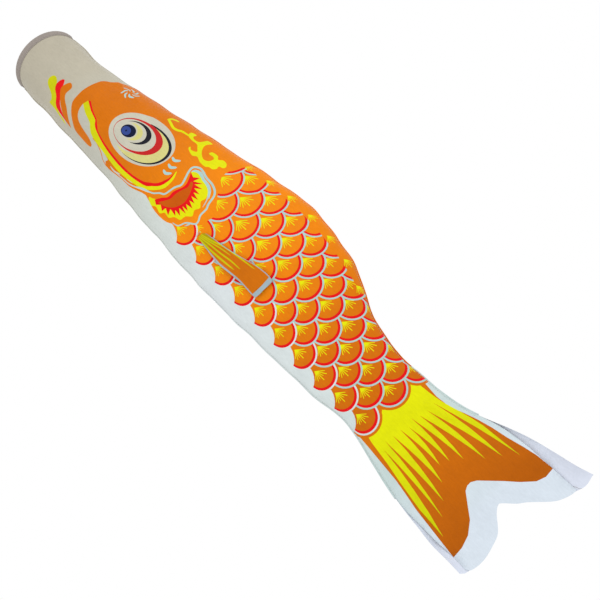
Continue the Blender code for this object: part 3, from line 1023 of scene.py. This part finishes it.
# Fin outline, and its rays as centre lines with their widths, in mm like the print
FIN_EDGE = [(-24.5, 435.5), (-22.5, 434.4), (-17.5, 434.4), (-15, 435.5), (-12, 440), (-9, 456),
    (-6, 477), (-1, 501), (5, 524), (8, 544), (7, 557), (2, 559), (-11, 558), (-24, 557), (-26, 548),
    (-25, 534), (-25, 522), (-26, 505), (-28, 486), (-28, 466), (-26, 448), (-25, 440)]
FIN_RAYS = (
    ([(-18, 434), (-13, 455), (-7, 474), (-3, 500), (1, 530)], 2.4),
    ([(-20, 434), (-16, 454), (-12, 471), (-9, 490)], 1.8),
    ([(-22, 434), (-19, 455), (-17, 475), (-14, 494), (-13, 514)], 2.2),
    ([(-24, 436), (-24, 452), (-23, 470), (-21, 489), (-19, 508)], 2.6),
)


def make_fins():
    """Loose fins, hemmed along their edges and sewn on at the root."""
    rise = np.array((0, PRINT_RISE))
    outline = curve(FIN_EDGE, True, 2) - rise
    upper = [(-14, 433), (-11, 440), (-8.5, 456), (-5.5, 477), (-0.5, 501), (5.5, 524), (8, 544), (7.5, 556)]
    lower = [(-26, 440), (-27.5, 466), (-27.5, 486), (-25.5, 505), (-24.5, 522), (-25, 534), (-26, 550)]
    end = [(12, 552), (8, 551.5), (-8, 552), (-28, 550), (-30, 562), (12, 562)]
    shapes = [("fin_root", blob([(-26, 430), (-15, 430), (-10, 446), (-12, 460), (-20, 452), (-27, 462)]))]
    shapes += [("fin_ray", stroke(points, width, (0.5, 0.1))) for points, width in FIN_RAYS]
    shapes.append(("fin_hem", stroke(upper, 2.6, (1, 1))))
    shapes.append(("fin_hem", stroke(lower, 2.8, (0.6, 1))))
    # The end strip is pale cloth painted grey-blue as painted shade
    shapes.append(("fin_hem", np.array(end)))
    shapes = [(ink, (shape - rise) * MM) for ink, shape in shapes]
    flat, faces, inks = cut_cloth(outline * MM, shapes, "fin", step=0.003)
    down, across = flat[:, 1] / MM + PRINT_RISE, flat[:, 0] / MM
    share = np.clip((down - 432) / 126, 0, 1)
    middle = -20 + 11 * share
    below = np.clip((middle - across) / 14, 0, 1)
    # The lower edge curls outwards halfway along, and the end stands off a little
    curl = 5.0 * below**2 * np.sin(np.pi * np.clip((down - 450) / 90, 0, 1)) ** 2
    ripple = np.array([noise.noise(Vector((a * 0.05, d * 0.03, 0))) for a, d in zip(across, down)])
    lift = (1.9 + 2.6 * share + curl + 1.3 * share * ripple) * MM
    for label, panel in (("left", LEFT), ("right", RIGHT)):
        place, _ = panel.lay(flat, lift)
        mesh_faces = faces[:, ::-1] if panel.side < 0 else faces
        piece = add_mesh("fin_cloth_" + label, place, mesh_faces.tolist(), list(inks), flat.tolist())
        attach(piece, "fin_" + label)
        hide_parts("fin_" + label)
        # Bar tack across the root
        verts, tack_faces = [], []
        for row in range(3):
            line = np.array([(a, 429.5 + 0.7 * row - PRINT_RISE) for a in np.linspace(-25, -15, 12)]) * MM
            places, normals = panel.lay(line, 0.0009)
            more, more_faces = stitch_row(places, normals, 0.0019, 0.0017, 0.00028)
            tack_faces += [tuple(i + len(verts) for i in face) for face in more_faces]
            verts += more
        tack = add_mesh("fin_stitches_" + label, verts, tack_faces, ["thread"] * len(tack_faces),
            [(0, 0)] * len(verts))
        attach(tack, "trunk")
        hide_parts("fin_tack_" + label)


def make_loose_thread():
    """The end of the hem thread hangs free at the tail's upper corner."""
    start = LEFT.lay([(0.0875, 1.0015)], 0.0002)[0][0]
    hanging = ((0, 0, 0), (0.002, -0.0012, -0.003), (0.0024, -0.0030, -0.0055), (0.0050, -0.0036, -0.0078))
    points = curve([start + np.array(offset) for offset in hanging], steps=5)
    sides, radius = 6, 0.00022
    rings, flat = [], []
    for k, (x, y, z) in enumerate(points):
        for j in range(sides):
            a = math.pi / 3 * j
            rings.append((x + radius * math.cos(a), y + radius * math.sin(a), z))
            flat.append((0.001 * j, 0.001 * k))
    faces = loft([range(sides)] * len(points))
    piece = add_mesh("loose_thread", rings, faces, ["hem_thread"] * len(faces), flat)
    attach(piece, "tail")


METALS = (("mouth_ring", (190, 192, 196), 0.32), ("ring_ferrule", (208, 208, 212), 0.4))


def finish_wire():
    """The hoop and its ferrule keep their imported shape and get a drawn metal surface."""
    for name, colour, roughness in METALS:
        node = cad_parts[name]
        for slot in node.material_slots:
            slot.link = "OBJECT"
            slot.material = wire(name + "_metal", colour, roughness)


make_seams()
make_hem()
make_fins()
make_loose_thread()
finish_wire()


# ---------------------------------------------------------------- stage, light and camera


def make_stage():
    """A round pale floor, below the photograph's view."""
    radius, height, sides = 1.9, -1.5, 96
    angles = [2 * math.pi * k / sides for k in range(sides)]
    spots = [(radius * math.cos(a), radius * math.sin(a), height) for a in angles]
    mesh = bpy.data.meshes.new("floor")
    mesh.from_pydata(spots, [], [tuple(range(sides))])
    n = Nodes("pale_floor")
    n.shader.inputs["Base Color"].default_value = (0.86, 0.86, 0.86, 1)
    n.shader.inputs["Roughness"].default_value = 0.8
    mesh.materials.append(n.material)
    floor = bpy.data.objects.new("floor", mesh)
    bpy.context.collection.objects.link(floor)


def make_light():
    """An even white studio, with one weak soft box off the left flank and above the hoop."""
    world = bpy.data.worlds.new("studio")
    world.use_nodes = True
    world.node_tree.nodes["Background"].inputs["Color"].default_value = (1, 1, 1, 1)
    world.node_tree.nodes["Background"].inputs["Strength"].default_value = 1.0
    bpy.context.scene.world = world
    light = bpy.data.lights.new("softbox", "AREA")
    light.energy = 7
    light.size = 1.2
    lamp = bpy.data.objects.new("softbox", light)
    lamp.location = (0.9, -1.6, 0.5)
    lamp.rotation_euler = (Vector((0, 0, -0.4)) - lamp.location).to_track_quat("-Z", "Y").to_euler()
    bpy.context.collection.objects.link(lamp)
    bpy.context.scene.view_settings.view_transform = "Standard"


def make_camera():
    """The photograph's view: off the left flank at the tail's height, looking up along the body."""
    pitch, yaw = math.radians(18.9), math.radians(0.78)
    ahead = Vector((0, math.cos(pitch), math.sin(pitch)))
    upright = Vector((0, -math.sin(pitch), math.cos(pitch)))
    beside = Vector((1, 0, 0))
    forward = math.cos(yaw) * ahead + math.sin(yaw) * beside
    right = math.cos(yaw) * beside - math.sin(yaw) * ahead
    # Rolled by 45 degrees, so that the streamer lies from corner to corner
    across, up = (right - upright).normalized(), (right + upright).normalized()
    turn = Matrix((across, up, -forward)).transposed().to_4x4()
    data = bpy.data.cameras.new("camera")
    data.lens = 46.6
    data.sensor_width = 36
    camera = bpy.data.objects.new("camera", data)
    camera.matrix_world = Matrix.Translation((0, -1.006, -0.934)) @ turn
    bpy.context.collection.objects.link(camera)
    bpy.context.scene.camera = camera


make_stage()
make_light()
make_camera()
